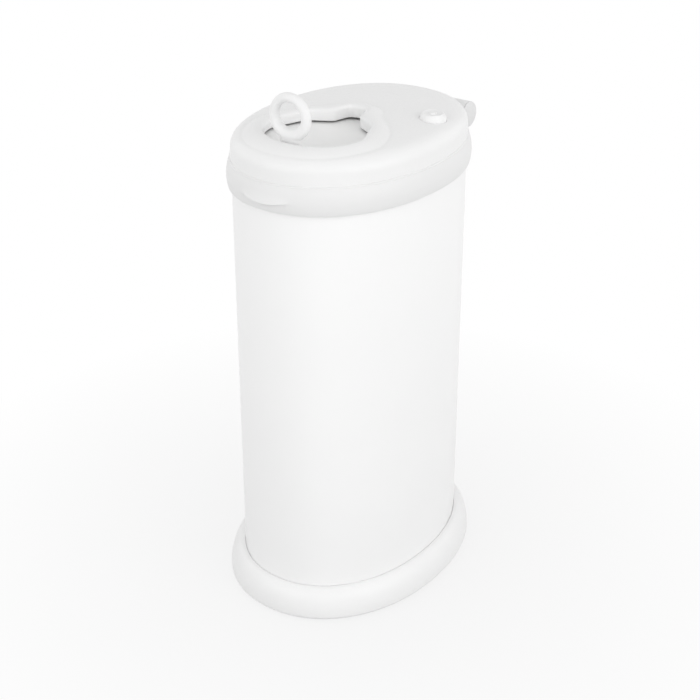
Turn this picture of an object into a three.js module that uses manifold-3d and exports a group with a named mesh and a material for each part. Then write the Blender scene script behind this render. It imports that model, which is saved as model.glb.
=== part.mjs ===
// Nappy bin: an oval steel pail with a moulded foot, collar and hinged lid. A door with a ring handle slides
// back under the lid, and a sprung child lock drops a peg behind the door's tail.
// Millimetres, +Z up, the front is -Y, and the origin is on the floor under the middle of the bin.
import * as THREE from 'three';
import { mergeVertices } from 'three/addons/utils/BufferGeometryUtils.js';
import Module from 'manifold-3d';

const wasm = await Module();
wasm.setup();

// The oval that the pail, foot, collar and lid share.
const bodyHalfWidth = 116;
const bodyHalfDepth = 157.2;
const ovalPower = 2.12;
const ovalSteps = 48;
const innerSteps = 36;

// Clearances, and how far a cutter runs past what it cuts.
const fitGap = 0.3;
const seamGap = 0.5;
const runGap = 0.6;
const overrun = 2;

// Heights. The lid's crown is the top of the closed bin, and the levels below it hang from there.
const padFloorGap = 1.5;
const footTop = 39.4;
const lidTop = 584;
const lidHeight = 34.8;
const lidCrown = 5.5;
const collarHeight = 30.7;

// Steel pail.
const steelWall = 1;
const bottomFlange = 15;
const topFlange = 12;

// Foot.
const footWall = 2.8;
const footTopLip = 1.2;
const footFlare = 18.9;
const footWidestHeight = 7;
const footBottomFlare = 11.5;
const footShelfDepth = 3;
const footShelfHeight = 12.7;
const footShelfWidth = 17;
const footArcSteps = 5;

// Floor pan inside the pail.
const panThickness = 2.2;
const panBossHeight = 7;
const panBossRadius = 4.5;

// Rubber pads.
const padRadius = 8;
const padTopRadius = 7.2;
const padInset = 8.5;

// Screws.
const screwRadius = 1.8;
const screwHeadRadius = 3.4;
const screwHeadHeight = 2;
const screwLength = 9;
const screwSides = 8;

// Collar.
const collarBottomProud = 4;
const collarBulge = 5.8;
const collarTopProud = 2.2;
const collarEdgeRound = 1;
const collarInset = 4;
const ledgeDrop = 11.7;
const ledgeThickness = 3;
const ledgeInset = 15;

// Finger lip on the front of the collar, whose ends curve upwards.
const lipHalfWidth = 29.5;
const lipReach = 5.4;
const lipRise = 9.8;
const lipSmile = 3.5;
const lipThickness = 3;
const lipBlend = 4;
const lipSteps = 14;

// Bag ring that the bag's mouth is folded over.
const bagRingInset = 5;
const bagRingThickness = 2;
const bagRingThroatInset = 31;
const bagRingThroatDrop = 11;
const bagRingSkirtInset = 12.5;
const bagRingLift = 6;
const bagRingRound = 6;
const gripNotchRadius = 11;

// Hinge at the back.
const hingeReach = 3;
const hingeRise = 1.3;
const knuckleRadius = 15.6;
const lidKnuckleHalf = 38;
const hingeHalfLength = 59.5;
const hingeCapLength = 2;
const pinRadius = 4;
const pinGap = 0.3;
const spigotLength = 3;
const knuckleSides = 32;
const knuckleFlat = 7.6;

// Lid cover.
const lidProud = 1.2;
const lidWall = 2.6;
const lidSideHeight = 13;
const shoulderWidth = 19;

// Lid base, the plate that closes the lid from below and carries the door.
const baseInset = 2.1;
const baseThickness = 2.5;
const dropPower = 2.4;
const dropWall = 2.6;
const railLedgeWidth = 6.5;
const railLipWidth = 3;
const railLipHeight = 4.4;

// Seals.
const lidSealInset = 6.6;
const lidSealWidth = 3;
const wiperHeight = 1.8;
const wiperWidth = 2.4;

// Sliding door.
const doorThickness = 5.2;
const doorTailRoom = 12.2;
const dishDepth = 4;
const dishPower = 2.2;

// Ring handle, whose middle stands above the door.
const ringRadius = 21.4;
const ringTube = 5.5;
const ringRise = 38;
const handleFootHalfWidth = 11.7;
const handleFootHalfDepth = 4.8;
const handleScrewX = 5;
const handleScrewReach = 9;

// Recess in the lid: the throat is the foot of its wall, the rim is where it meets the top.
const throatFrontGap = 2.2;
const throatEndGap = 7.2;
const slotHalfWidth = 15;
const rimFrontRun = 14;
const rimSideRun = 19;
const rimSlotRun = 15;
const rimBackRun = 21;
const throatEdgeDrop = 5.2;
const recessPoints = 52;
const throatWall = 2.4;

// Child lock.
const buttonRadius = 15.5;
const buttonTopRadius = 11.8;
const buttonRise = 7.3;
const buttonSink = 2.4;
const buttonSkirt = 3.6;
const buttonRound = 1.8;
const buttonDotRadius = 4.2;
const buttonDotHeight = 0.8;
const buttonStemRadius = 5;
const lockBarGap = 1.15;
const lockBarThickness = 2.5;
const lockBarWidth = 9;
const pegInset = 5;
const pegGap = 1.8;
const pegRadius = 3.2;
const pegReach = 2.6;
const pegRest = 1;
const springRadius = 3.2;
const springWire = 0.45;
const springTurns = 6;
const springStepsPerTurn = 8;
const springSides = 5;
const springPostRadius = 1.8;
const springPostShare = 0.65;

// Places in plan, as shares of the oval's half width across and of its half depth along.
const dropWidthShare = 0.5;
const dropFrontShare = -0.719;
const dropBackShare = -0.076;
const railFrontShare = -0.42;
const railBackShare = 0.623;
const lidScrewShares = [[0.345, -0.833], [0.784, -0.095], [0.388, 0.814]];
const doorWidthShare = 0.6034;
const doorTailShare = 0.293;
const doorFrontShare = -0.795;
const doorStraightFrontShare = -0.541;
const doorStraightBackShare = -0.197;
const doorBackShare = 0.1908;
const dishWidthShare = 0.4655;
const dishDepthShare = 0.267;
const dishMiddleShare = -0.375;
const handleShare = -0.7125;
const throatWidthShare = 0.517;
const throatWidestShare = -0.4326;
const rimWidestShare = -0.369;
const buttonShares = [0.694, 0.2767];

const dropHalfWidth = bodyHalfWidth * dropWidthShare;
const dropFront = bodyHalfDepth * dropFrontShare;
const dropBack = bodyHalfDepth * dropBackShare;
const dropMiddle = (dropFront + dropBack) / 2;
const dropHalfDepth = (dropBack - dropFront) / 2;
const railFront = bodyHalfDepth * railFrontShare;
const railBack = bodyHalfDepth * railBackShare;
const lidScrewPlaces = lidScrewShares
  .map(([across, along]) => [bodyHalfWidth * across, bodyHalfDepth * along])
  .flatMap(([x, y]) => [[x, y], [-x, y]]);
const doorHalfWidth = bodyHalfWidth * doorWidthShare;
const doorTailHalfWidth = bodyHalfWidth * doorTailShare;
const doorFront = bodyHalfDepth * doorFrontShare;
const doorStraightFront = bodyHalfDepth * doorStraightFrontShare;
const doorStraightBack = bodyHalfDepth * doorStraightBackShare;
const doorBack = bodyHalfDepth * doorBackShare;
const doorTravel = bodyHalfDepth - doorTailRoom - doorBack;
const dishHalfWidth = bodyHalfWidth * dishWidthShare;
const dishHalfDepth = bodyHalfDepth * dishDepthShare;
const dishMiddle = bodyHalfDepth * dishMiddleShare;
const handleY = bodyHalfDepth * handleShare;
const throatFront = handleY - handleFootHalfDepth - throatFrontGap;
const throatHalfWidth = bodyHalfWidth * throatWidthShare;
const throatWidest = bodyHalfDepth * throatWidestShare;
const slotEnd = handleY + doorTravel + handleFootHalfDepth + throatEndGap;
const rimFront = throatFront - rimFrontRun;
const rimHalfWidth = throatHalfWidth + rimSideRun;
const rimWidest = bodyHalfDepth * rimWidestShare;
const buttonX = bodyHalfWidth * buttonShares[0];
const buttonY = bodyHalfDepth * buttonShares[1];
const pegX = doorTailHalfWidth - pegInset;
const pegY = doorBack + pegGap + pegRadius;
const hingeY = bodyHalfDepth + hingeReach;

const lidBottom = lidTop - lidHeight;
const shoulderTop = lidTop - lidCrown;
const shoulderBottom = lidBottom + lidSideHeight;
const crownInset = shoulderWidth - lidProud;
const crownOverButton = crownHeight(buttonX, buttonY);
const lockBarHeight = crownOverButton - lidWall - lockBarGap - lockBarThickness;
const buttonTop = crownOverButton + buttonRise;
const doorTop = lockBarHeight - pegReach - pegRest;
const doorBottom = doorTop - doorThickness;
const ringHeight = doorTop + ringRise;
const throatEdge = lidTop - throatEdgeDrop;
const throatBottom = doorTop + seamGap;
const wiperBottom = doorBottom - fitGap - wiperHeight;
const baseBottom = lidBottom + fitGap;
const baseTop = baseBottom + baseThickness;
const springPostHeight = (lockBarHeight - baseTop) * springPostShare;
const collarTop = lidBottom - seamGap;
const collarBottom = collarTop - collarHeight;
const lipHeight = collarBottom + lipRise;
const ledgeHeight = collarTop - ledgeDrop;
const bagRingHeight = ledgeHeight + bagRingLift;
const hingeZ = collarTop + hingeRise;
const shellBottom = footShelfHeight + footShelfDepth + fitGap;
const shellTop = ledgeHeight - ledgeThickness - fitGap;
const panBottom = shellBottom + steelWall + fitGap;
const screwHole = screwRadius + fitGap;
const knuckleEnd = hingeHalfLength - hingeCapLength - fitGap;
const boreRadius = pinRadius + pinGap;

// Makes a closed solid of a geometry by welding its corners.
function solidOf(geometry) {
  const bare = geometry.clone();
  bare.deleteAttribute('normal');
  bare.deleteAttribute('uv');
  const welded = mergeVertices(bare);
  return new wasm.Manifold(new wasm.Mesh({
    numProp: 3,
    vertProperties: welded.attributes.position.array,
    triVerts: new Uint32Array(welded.index.array),
  }));
}

// Gives a solid back as a geometry that a mesh can hold.
function geometryOf(solid) {
  const mesh = solid.getMesh();
  const geometry = new THREE.BufferGeometry();
  geometry.setAttribute('position', new THREE.BufferAttribute(mesh.vertProperties, mesh.numProp));
  geometry.setIndex(new THREE.BufferAttribute(mesh.triVerts, 1));
  const flat = geometry.toNonIndexed();
  flat.computeVertexNormals();
  return flat;
}

// A superellipse in plan, with the corners of its ring in order round the axis.
function superellipse(halfWidth, halfDepth, power, height, steps, middleY = 0) {
  const points = [];
  for (let step = 0; step < steps; step += 1) {
    const turn = (step / steps) * Math.PI * 2;
    const cos = Math.cos(turn);
    const sin = Math.sin(turn);
    const x = halfWidth * Math.sign(cos) * Math.abs(cos) ** (2 / power);
    const y = halfDepth * Math.sign(sin) * Math.abs(sin) ** (2 / power);
    points.push(new THREE.Vector3(x, y + middleY, height));
  }
  return points;
}

// The pail's oval moved outwards along its own normals.
function ovalRing(offset, height, steps = ovalSteps) {
  const ring = superellipse(bodyHalfWidth, bodyHalfDepth, ovalPower, height, steps);
  return ring.map((point) => {
    const slopeX = slopeOf(point.x, bodyHalfWidth);
    const slopeY = slopeOf(point.y, bodyHalfDepth);
    const length = Math.hypot(slopeX, slopeY);
    return new THREE.Vector3(
      point.x + (offset * slopeX) / length,
      point.y + (offset * slopeY) / length,
      height,
    );
  });
}

// One part of the oval's outward direction at a place on it.
function slopeOf(place, half) {
  return Math.sign(place) * Math.abs(place / half) ** (ovalPower - 1) / half;
}

// Skins rings of equal count into one closed surface. An endless loft joins its last ring to its first, and the
// other kind is closed by a fan at each end.
function loft(rings, endless) {
  const count = rings[0].length;
  const corners = rings.flat();
  const faces = [];
  const bands = endless ? rings.length : rings.length - 1;
  for (let band = 0; band < bands; band += 1) {
    const low = band * count;
    const high = ((band + 1) % rings.length) * count;
    for (let step = 0; step < count; step += 1) {
      const next = (step + 1) % count;
      faces.push([low + step, low + next, high + next]);
      faces.push([low + step, high + next, high + step]);
    }
  }
  if (!endless) {
    const ends = [[0, true], [(rings.length - 1) * count, false]];
    ends.forEach(([start, turned]) => {
      const middle = new THREE.Vector3();
      for (let step = 0; step < count; step += 1) {
        middle.addScaledVector(corners[start + step], 1 / count);
      }
      corners.push(middle);
      const hub = corners.length - 1;
      for (let step = 0; step < count; step += 1) {
        const here = start + step;
        const there = start + ((step + 1) % count);
        faces.push(turned ? [hub, there, here] : [hub, here, there]);
      }
    });
  }
  return facingOut(corners, faces);
}

// Builds a geometry from corners and faces, turned round if its volume came out negative.
function facingOut(corners, faces) {
  let volume = 0;
  const cross = new THREE.Vector3();
  faces.forEach(([a, b, c]) => {
    cross.crossVectors(corners[b], corners[c]);
    volume += corners[a].dot(cross);
  });
  const turned = volume < 0;
  const positions = corners.flatMap((corner) => [corner.x, corner.y, corner.z]);
  const index = faces.flatMap(([a, b, c]) => (turned ? [a, c, b] : [a, b, c]));
  const geometry = new THREE.BufferGeometry();
  geometry.setAttribute('position', new THREE.Float32BufferAttribute(positions, 3));
  geometry.setIndex(index);
  return geometry;
}

// A ring with the given section, each section point being [outward offset, height].
function ovalBand(section, steps = ovalSteps) {
  return loft(section.map(([offset, height]) => ovalRing(offset, height, steps)), true);
}

// Points on a quarter ellipse from one turn to another, as [across, up].
function quarter(across, up, reach, rise, from, to, steps) {
  const points = [];
  for (let step = 0; step <= steps; step += 1) {
    const turn = (from + ((to - from) * step) / steps) * (Math.PI / 2);
    points.push([across + reach * Math.cos(turn), up + rise * Math.sin(turn)]);
  }
  return points;
}

// A cylinder along Z between two heights.
function post(x, y, radius, low, high, sides = 20) {
  const geometry = new THREE.CylinderGeometry(radius, radius, high - low, sides);
  geometry.rotateX(Math.PI / 2);
  geometry.translate(x, y, (low + high) / 2);
  return geometry;
}

// A cylinder along the hinge axis between two X values.
function hingeRod(radius, from, to, sides = knuckleSides) {
  const geometry = new THREE.CylinderGeometry(radius, radius, to - from, sides);
  geometry.rotateZ(Math.PI / 2);
  geometry.translate((from + to) / 2, hingeY, hingeZ);
  return geometry;
}

// A box between two corners.
function block(low, high) {
  const geometry = new THREE.BoxGeometry(high[0] - low[0], high[1] - low[1], high[2] - low[2]);
  geometry.translate((low[0] + high[0]) / 2, (low[1] + high[1]) / 2, (low[2] + high[2]) / 2);
  return geometry;
}

// Turns a profile of [radius, height] points about Z.
function turned(profile, sides) {
  const points = profile.map(([radius, height]) => new THREE.Vector2(radius, height));
  const geometry = new THREE.LatheGeometry(points, sides);
  geometry.rotateX(Math.PI / 2);
  return geometry;
}

function joined(...geometries) {
  return geometries.map(solidOf).reduce((whole, part) => whole.add(part));
}

function cut(solid, ...geometries) {
  return geometries.map(solidOf).reduce((whole, part) => whole.subtract(part), solid);
}

// Height of the lid's top above a place in plan, on the crown.
function crownHeight(x, y) {
  const across = Math.abs(x / (bodyHalfWidth - crownInset)) ** ovalPower;
  const along = Math.abs(y / (bodyHalfDepth - crownInset)) ** ovalPower;
  const share = (across + along) ** (1 / ovalPower);
  return shoulderTop + lidCrown * (1 - share ** 2);
}

// A smooth closed outline in plan through half an outline's points, mirrored about the middle plane.
function mirroredOutline(half, count) {
  const back = half.slice(1, -1).reverse().map(([x, y]) => [-x, y]);
  const points = [...half, ...back].map(([x, y]) => new THREE.Vector3(x, y, 0));
  const curve = new THREE.CatmullRomCurve3(points, true, 'centripetal');
  const outline = [];
  for (let step = 0; step < count; step += 1) {
    outline.push(curve.getPoint(step / count));
  }
  return outline;
}

// Shares that shape the recess's outlines. Each pair behind the widest place is how much of the bowl's extra
// width is left, and how much of the run back has been covered.
const frontShares = [[0.48, 0.12], [0.83, 0.42]];
const throatBackShares = [[0.84, 0.27], [0.66, 0.49], [0.5, 0.56], [0.27, 0.63], [0.06, 0.71], [0, 0.82]];
const rimBackShares = [[0.78, 0.22], [0.41, 0.49], [0.16, 0.65], [0.02, 0.8], [-0.1, 0.89]];
const slotEndShares = [0.72, 0.96];
const rimEndShares = [0.55, 0.97];

// Half an outline runs from the front middle round the right side to the slot's end at the back middle.
function recessOutline(front, halfWidth, widest, slotHalf, end, backShares, endShares) {
  const half = [[0, front]];
  frontShares.forEach(([across, along]) => {
    half.push([across * halfWidth, front + along * (widest - front)]);
  });
  half.push([halfWidth, widest]);
  backShares.forEach(([extra, along]) => {
    half.push([slotHalf + extra * (halfWidth - slotHalf), widest + along * (end - widest)]);
  });
  half.push([endShares[0] * slotHalf, widest + endShares[1] * (end - widest)]);
  half.push([0, end]);
  return mirroredOutline(half, recessPoints);
}

const throat = recessOutline(
  throatFront,
  throatHalfWidth,
  throatWidest,
  slotHalfWidth,
  slotEnd,
  throatBackShares,
  slotEndShares,
);
const rim = recessOutline(
  rimFront,
  rimHalfWidth,
  rimWidest,
  slotHalfWidth + rimSlotRun,
  slotEnd + rimBackRun,
  rimBackShares,
  rimEndShares,
);

// A level place between rim and throat, from 0 at the rim to 1 at the throat, moved outwards by a distance.
function recessPlan(share, outward = 0) {
  const plan = rim.map((point, index) => point.clone().lerp(throat[index], share));
  return plan.map((point, index) => {
    const before = plan[(index + plan.length - 1) % plan.length];
    const after = plan[(index + 1) % plan.length];
    const run = after.clone().sub(before).normalize();
    return new THREE.Vector3(point.x + run.y * outward, point.y - run.x * outward, 0);
  });
}

// A ring of the recess, sunk by a share of the way from the lid's top to the throat's level edge.
function recessRing(share, sunkShare, under, outward = 0) {
  return recessPlan(share, outward).map((point) => {
    const top = crownHeight(point.x, point.y);
    point.z = top + (throatEdge - top) * sunkShare - under;
    return point;
  });
}

function levelRing(plan, height) {
  return plan.map((point) => new THREE.Vector3(point.x, point.y, height));
}

// Shares of the slope from the rim to the throat: how far in, and how much of the way down to the throat's edge.
const slopeShares = [[0.3, 0.13], [0.6, 0.38], [0.85, 0.7], [0.96, 0.88], [1, 1]];
const mouthShare = -0.06;

function recessVoid() {
  const rings = [levelRing(recessPlan(mouthShare), lidTop + overrun), recessRing(mouthShare, 0, -fitGap)];
  slopeShares.forEach(([share, sunkShare]) => rings.push(recessRing(share, sunkShare, 0)));
  rings.push(levelRing(recessPlan(1), throatBottom));
  rings.push(levelRing(recessPlan(1), throatBottom - overrun));
  return loft(rings, false);
}

function recessWall() {
  const rings = [recessRing(0, 0, lidWall / 2)];
  slopeShares.slice(1, -1).forEach(([share, sunkShare]) => {
    rings.push(recessRing(share, sunkShare, lidWall, throatWall * share));
  });
  rings.push(recessRing(1, 1, lidWall, throatWall));
  rings.push(levelRing(recessPlan(1, throatWall), throatBottom));
  return loft(rings, false);
}

// Screws, one node each: a domed head and a shank that points down, or up when turned over.
function screw(x, y, seat, upwards) {
  const profile = [
    [0, screwHeadHeight],
    [screwHeadRadius * 0.6, screwHeadHeight],
    [screwHeadRadius, screwHeadHeight / 2],
    [screwHeadRadius, 0],
    [screwRadius, 0],
    [screwRadius, -screwLength + screwRadius],
    [0, -screwLength],
  ];
  const geometry = turned(profile.reverse(), screwSides);
  if (upwards) {
    geometry.rotateX(Math.PI);
  }
  geometry.translate(x, y, seat);
  return geometry;
}

// Places spread round the oval, from a number of equal turns.
function ovalPlaces(inset, turns, first, stride) {
  const ring = ovalRing(-inset, 0, turns);
  return ring.filter((point, index) => index % stride === first);
}

const collarScrewPlaces = ovalPlaces((ledgeInset + collarInset - fitGap) / 2 - screwRadius / 2, 8, 1, 2);
const baseScrewPlaces = ovalPlaces(padInset, 16, 0, 4);
const padPlaces = ovalPlaces(padInset, 16, 2, 4);

function bodyShell() {
  const band = ovalBand([
    [0, shellBottom],
    [0, shellTop],
    [-topFlange, shellTop],
    [-topFlange, shellTop - steelWall],
    [-steelWall, shellTop - steelWall],
    [-steelWall, shellBottom + steelWall],
    [-bottomFlange, shellBottom + steelWall],
    [-bottomFlange, shellBottom],
  ]);
  const holes = baseScrewPlaces.map(({ x, y }) => {
    return post(x, y, screwHole, shellBottom - overrun, panBottom, screwSides);
  });
  collarScrewPlaces.forEach(({ x, y }) => {
    holes.push(post(x, y, screwHole, shellTop - steelWall - overrun, ledgeHeight, screwSides));
  });
  return cut(joined(band), ...holes);
}

function baseFoot() {
  const rise = footTop - footWidestHeight;
  const outer = quarter(footTopLip, footWidestHeight, footFlare - footTopLip, rise, 1, 0, footArcSteps);
  const tuck = quarter(
    footBottomFlare,
    footWidestHeight,
    footFlare - footBottomFlare,
    padFloorGap - footWidestHeight,
    0,
    1,
    2,
  );
  const inside = footWall + fitGap;
  const inner = quarter(inside, footWidestHeight, footFlare - footWall - inside, rise - footWall, 0, 1, 3);
  const shelfTop = footShelfHeight + footShelfDepth;
  const band = ovalBand([
    [fitGap, footTop],
    ...outer,
    ...tuck.slice(1),
    [footBottomFlare - footWall, padFloorGap],
    ...inner,
    [inside, footShelfHeight],
    [-footShelfWidth, footShelfHeight],
    [-footShelfWidth, shelfTop],
    [fitGap, shelfTop],
  ]);
  const low = footShelfHeight - overrun;
  const holes = baseScrewPlaces.map(({ x, y }) => post(x, y, screwHole, low, shelfTop + overrun, screwSides));
  return cut(joined(band), ...holes);
}

function floorPan() {
  const inset = steelWall + runGap;
  const panTop = panBottom + panThickness;
  const plate = loft([ovalRing(-inset, panBottom, innerSteps), ovalRing(-inset, panTop, innerSteps)]);
  const bossTop = panTop + panBossHeight;
  const bosses = baseScrewPlaces.map(({ x, y }) => post(x, y, panBossRadius, panBottom, bossTop, screwSides));
  const high = bossTop - panThickness;
  const holes = baseScrewPlaces.map(({ x, y }) => post(x, y, screwHole, panBottom - overrun, high, screwSides));
  return cut(joined(plate, ...bosses), ...holes);
}

function footPad({ x, y }) {
  const high = footShelfHeight - fitGap;
  const round = footWall / 2;
  const profile = [[0, 0], [padRadius - round, 0], [padRadius, round], [padTopRadius, high], [0, high]];
  const geometry = turned(profile, 18);
  geometry.translate(x, y, 0);
  return geometry;
}

// How far the collar stands out of the pail at a share of its height.
function collarProud(share) {
  const straight = collarBottomProud + (collarTopProud - collarBottomProud) * share;
  const middle = (collarBottomProud + collarTopProud) / 2;
  return straight + (collarBulge - middle) * 4 * share * (1 - share);
}

// The finger lip is a crescent in plan that dies into the collar at both ends. Its top slopes up to the collar.
function fingerLip() {
  const base = collarProud(lipRise / collarHeight);
  const rings = [];
  for (let step = 0; step <= lipSteps; step += 1) {
    const share = (step / lipSteps) * 2 - 1;
    const x = share * lipHalfWidth;
    const reach = base - fitGap + lipReach * (1 - share ** 2);
    const low = lipHeight + lipSmile * share ** 2;
    const high = low + lipThickness;
    rings.push([
      frontPlace(x, base / 2, low),
      frontPlace(x, reach - lipThickness / 3, low),
      frontPlace(x, reach, low + lipThickness / 2),
      frontPlace(x, reach - lipThickness / 3, high),
      frontPlace(x, base / 2, high + lipBlend),
    ]);
  }
  return loft(rings, false);
}

// A place on the front of the oval at a given X, moved outwards.
function frontPlace(x, outward, height) {
  const y = -bodyHalfDepth * (1 - Math.abs(x / bodyHalfWidth) ** ovalPower) ** (1 / ovalPower);
  return new THREE.Vector3(x, y - outward, height);
}

// The two outer knuckles with the webs that carry them.
function collarKnuckles() {
  const low = hingeZ - knuckleRadius;
  const parts = [-1, 1].flatMap((side) => {
    const near = side * (lidKnuckleHalf + fitGap);
    const far = side * knuckleEnd;
    const ends = [Math.min(near, far), Math.max(near, far)];
    const wallY = bodyHalfDepth * (1 - (knuckleEnd / bodyHalfWidth) ** ovalPower) ** (1 / ovalPower);
    return [
      hingeRod(knuckleRadius, ends[0], ends[1]),
      block([ends[0], wallY, low], [ends[1], hingeY, collarTop]),
    ];
  });
  const pail = loft([ovalRing(fitGap, low - overrun), ovalRing(fitGap, ledgeHeight - ledgeThickness)]);
  const inside = loft([ovalRing(-collarInset, low - overrun), ovalRing(-collarInset, hingeZ + knuckleRadius)]);
  return cut(joined(...parts), pail, inside);
}

function collar() {
  const bulgeShares = [0.2, 0.45, 0.7];
  const bulge = bulgeShares.map((share) => [collarProud(share), collarBottom + share * collarHeight]);
  const band = ovalBand([
    [fitGap, collarBottom],
    [collarBottomProud, collarBottom],
    ...bulge,
    [collarTopProud, collarTop - collarEdgeRound],
    [collarTopProud - collarEdgeRound, collarTop],
    [-collarInset, collarTop],
    [-collarInset, ledgeHeight],
    [-ledgeInset, ledgeHeight],
    [-ledgeInset, ledgeHeight - ledgeThickness],
    [fitGap, ledgeHeight - ledgeThickness],
  ]);
  const ring = cut(
    joined(band, fingerLip()).add(collarKnuckles()),
    hingeRod(knuckleRadius + runGap, -hingeHalfLength - runGap, -knuckleEnd),
    hingeRod(knuckleRadius + runGap, knuckleEnd, hingeHalfLength + runGap),
    hingeRod(knuckleRadius + runGap, -lidKnuckleHalf - fitGap, lidKnuckleHalf + fitGap),
    hingeRod(boreRadius, -hingeHalfLength - overrun, hingeHalfLength + overrun, screwSides * 2),
  );
  const low = ledgeHeight - ledgeThickness - overrun;
  const high = ledgeHeight + overrun;
  const holes = collarScrewPlaces.map(({ x, y }) => post(x, y, screwHole, low, high, screwSides));
  return cut(ring, ...holes);
}

function bagRing() {
  const top = bagRingHeight + bagRingThickness;
  const low = bagRingHeight - bagRingThroatDrop;
  const inner = bagRingThroatInset;
  const seat = ledgeHeight + fitGap;
  const band = ovalBand([
    [-bagRingInset, bagRingHeight],
    [-bagRingInset, top],
    [-inner + bagRingRound, top],
    [-inner + bagRingRound / 4, top - bagRingRound / 3],
    [-inner, top - bagRingRound],
    [-inner, low],
    [-inner + bagRingThickness, low],
    [-inner + bagRingThickness, bagRingHeight - bagRingRound / 2],
    [-inner + bagRingRound, bagRingHeight],
    [-bagRingSkirtInset - bagRingThickness, bagRingHeight],
    [-bagRingSkirtInset - bagRingThickness, seat],
    [-bagRingSkirtInset, seat],
    [-bagRingSkirtInset, bagRingHeight],
  ], innerSteps);
  const notchY = -bodyHalfDepth + bagRingThroatInset;
  return cut(
    joined(band),
    hingeRod(knuckleRadius + runGap, -lidKnuckleHalf - runGap, lidKnuckleHalf + runGap),
    post(0, notchY, gripNotchRadius, low - overrun, top + overrun),
  );
}

function hingePin() {
  const half = knuckleEnd - spigotLength;
  return hingeRod(pinRadius, -half, half, screwSides * 2);
}

function hingeCap(side) {
  const inner = side * (hingeHalfLength - hingeCapLength);
  const outer = side * hingeHalfLength;
  const tip = side * (knuckleEnd - spigotLength + fitGap);
  const disc = hingeRod(knuckleRadius, Math.min(inner, outer), Math.max(inner, outer));
  const spigot = hingeRod(pinRadius, Math.min(tip, outer), Math.max(tip, outer), screwSides * 2);
  return joined(disc, spigot);
}

// The lid's outer or inner skin as a solid dome, moved inwards and down by an inset.
function lidDome(inset, bottom, arcSteps, crownShares) {
  const rings = [ovalRing(lidProud - inset, bottom), ovalRing(lidProud - inset, shoulderBottom - inset)];
  const rise = shoulderTop - shoulderBottom;
  const arc = quarter(lidProud - shoulderWidth, shoulderBottom, shoulderWidth, rise, 0, 1, arcSteps);
  arc.slice(1, -1).forEach(([offset, height]) => {
    rings.push(ovalRing(offset - inset, height - inset));
  });
  const spread = crownInset + inset;
  crownShares.forEach((share) => {
    const height = shoulderTop - inset + lidCrown * (1 - share ** 2);
    const halfWidth = share * (bodyHalfWidth - spread);
    const halfDepth = share * (bodyHalfDepth - spread);
    rings.push(superellipse(halfWidth, halfDepth, ovalPower, height, ovalSteps));
  });
  return loft(rings, false);
}

// The middle knuckle, flat where it lies inside the lid.
function lidKnuckle() {
  const reach = lidKnuckleHalf + overrun;
  const flat = hingeY - knuckleFlat;
  const front = block(
    [-reach, hingeY - knuckleRadius - overrun, hingeZ - knuckleRadius - overrun],
    [reach, flat, hingeZ + knuckleRadius + overrun],
  );
  return cut(joined(hingeRod(knuckleRadius, -lidKnuckleHalf, lidKnuckleHalf)), front);
}

function lidCover() {
  const shell = cut(
    joined(lidDome(0, lidBottom, 6, [1, 0.82, 0.58, 0.3, 0.05])),
    lidDome(lidWall, lidBottom - overrun, 4, [1, 0.7, 0.3]),
  );
  const bossFoot = baseTop + fitGap;
  const bosses = lidScrewPlaces.map(([x, y]) => {
    return post(x, y, panBossRadius, bossFoot, crownHeight(x, y) - lidWall / 2, screwSides);
  });
  const bossHoles = lidScrewPlaces.map(([x, y]) => {
    return post(x, y, screwHole, bossFoot - overrun, bossFoot + screwLength, screwSides);
  });
  const whole = shell.add(joined(recessWall())).add(joined(...bosses)).add(lidKnuckle());
  const holeLow = crownOverButton - lidWall * 3;
  const end = hingeHalfLength + runGap;
  return cut(
    whole,
    recessVoid(),
    ...bossHoles,
    post(buttonX, buttonY, buttonRadius + seamGap, holeLow, buttonTop, 32),
    hingeRod(boreRadius, -hingeHalfLength, hingeHalfLength, screwSides * 2),
    hingeRod(knuckleRadius + runGap, lidKnuckleHalf, end),
    hingeRod(knuckleRadius + runGap, -end, -lidKnuckleHalf),
  );
}

// A wall round the drop opening, between two distances outside it.
function dropRing(from, to, low, high) {
  const ring = (outward, height) => superellipse(
    dropHalfWidth + outward,
    dropHalfDepth + outward,
    dropPower,
    height,
    innerSteps,
    dropMiddle,
  );
  return loft([ring(from, low), ring(to, low), ring(to, high), ring(from, high)], true);
}

function rail(side) {
  const inner = side * (doorHalfWidth - railLedgeWidth);
  const edge = side * (doorHalfWidth + runGap);
  const outer = side * (doorHalfWidth + runGap + railLipWidth);
  const ledge = block(
    [Math.min(inner, outer), railFront, baseBottom],
    [Math.max(inner, outer), railBack, doorBottom - fitGap],
  );
  const lip = block(
    [Math.min(edge, outer), railFront, baseBottom],
    [Math.max(edge, outer), railBack, doorBottom + railLipHeight],
  );
  return joined(ledge, lip);
}

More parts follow.
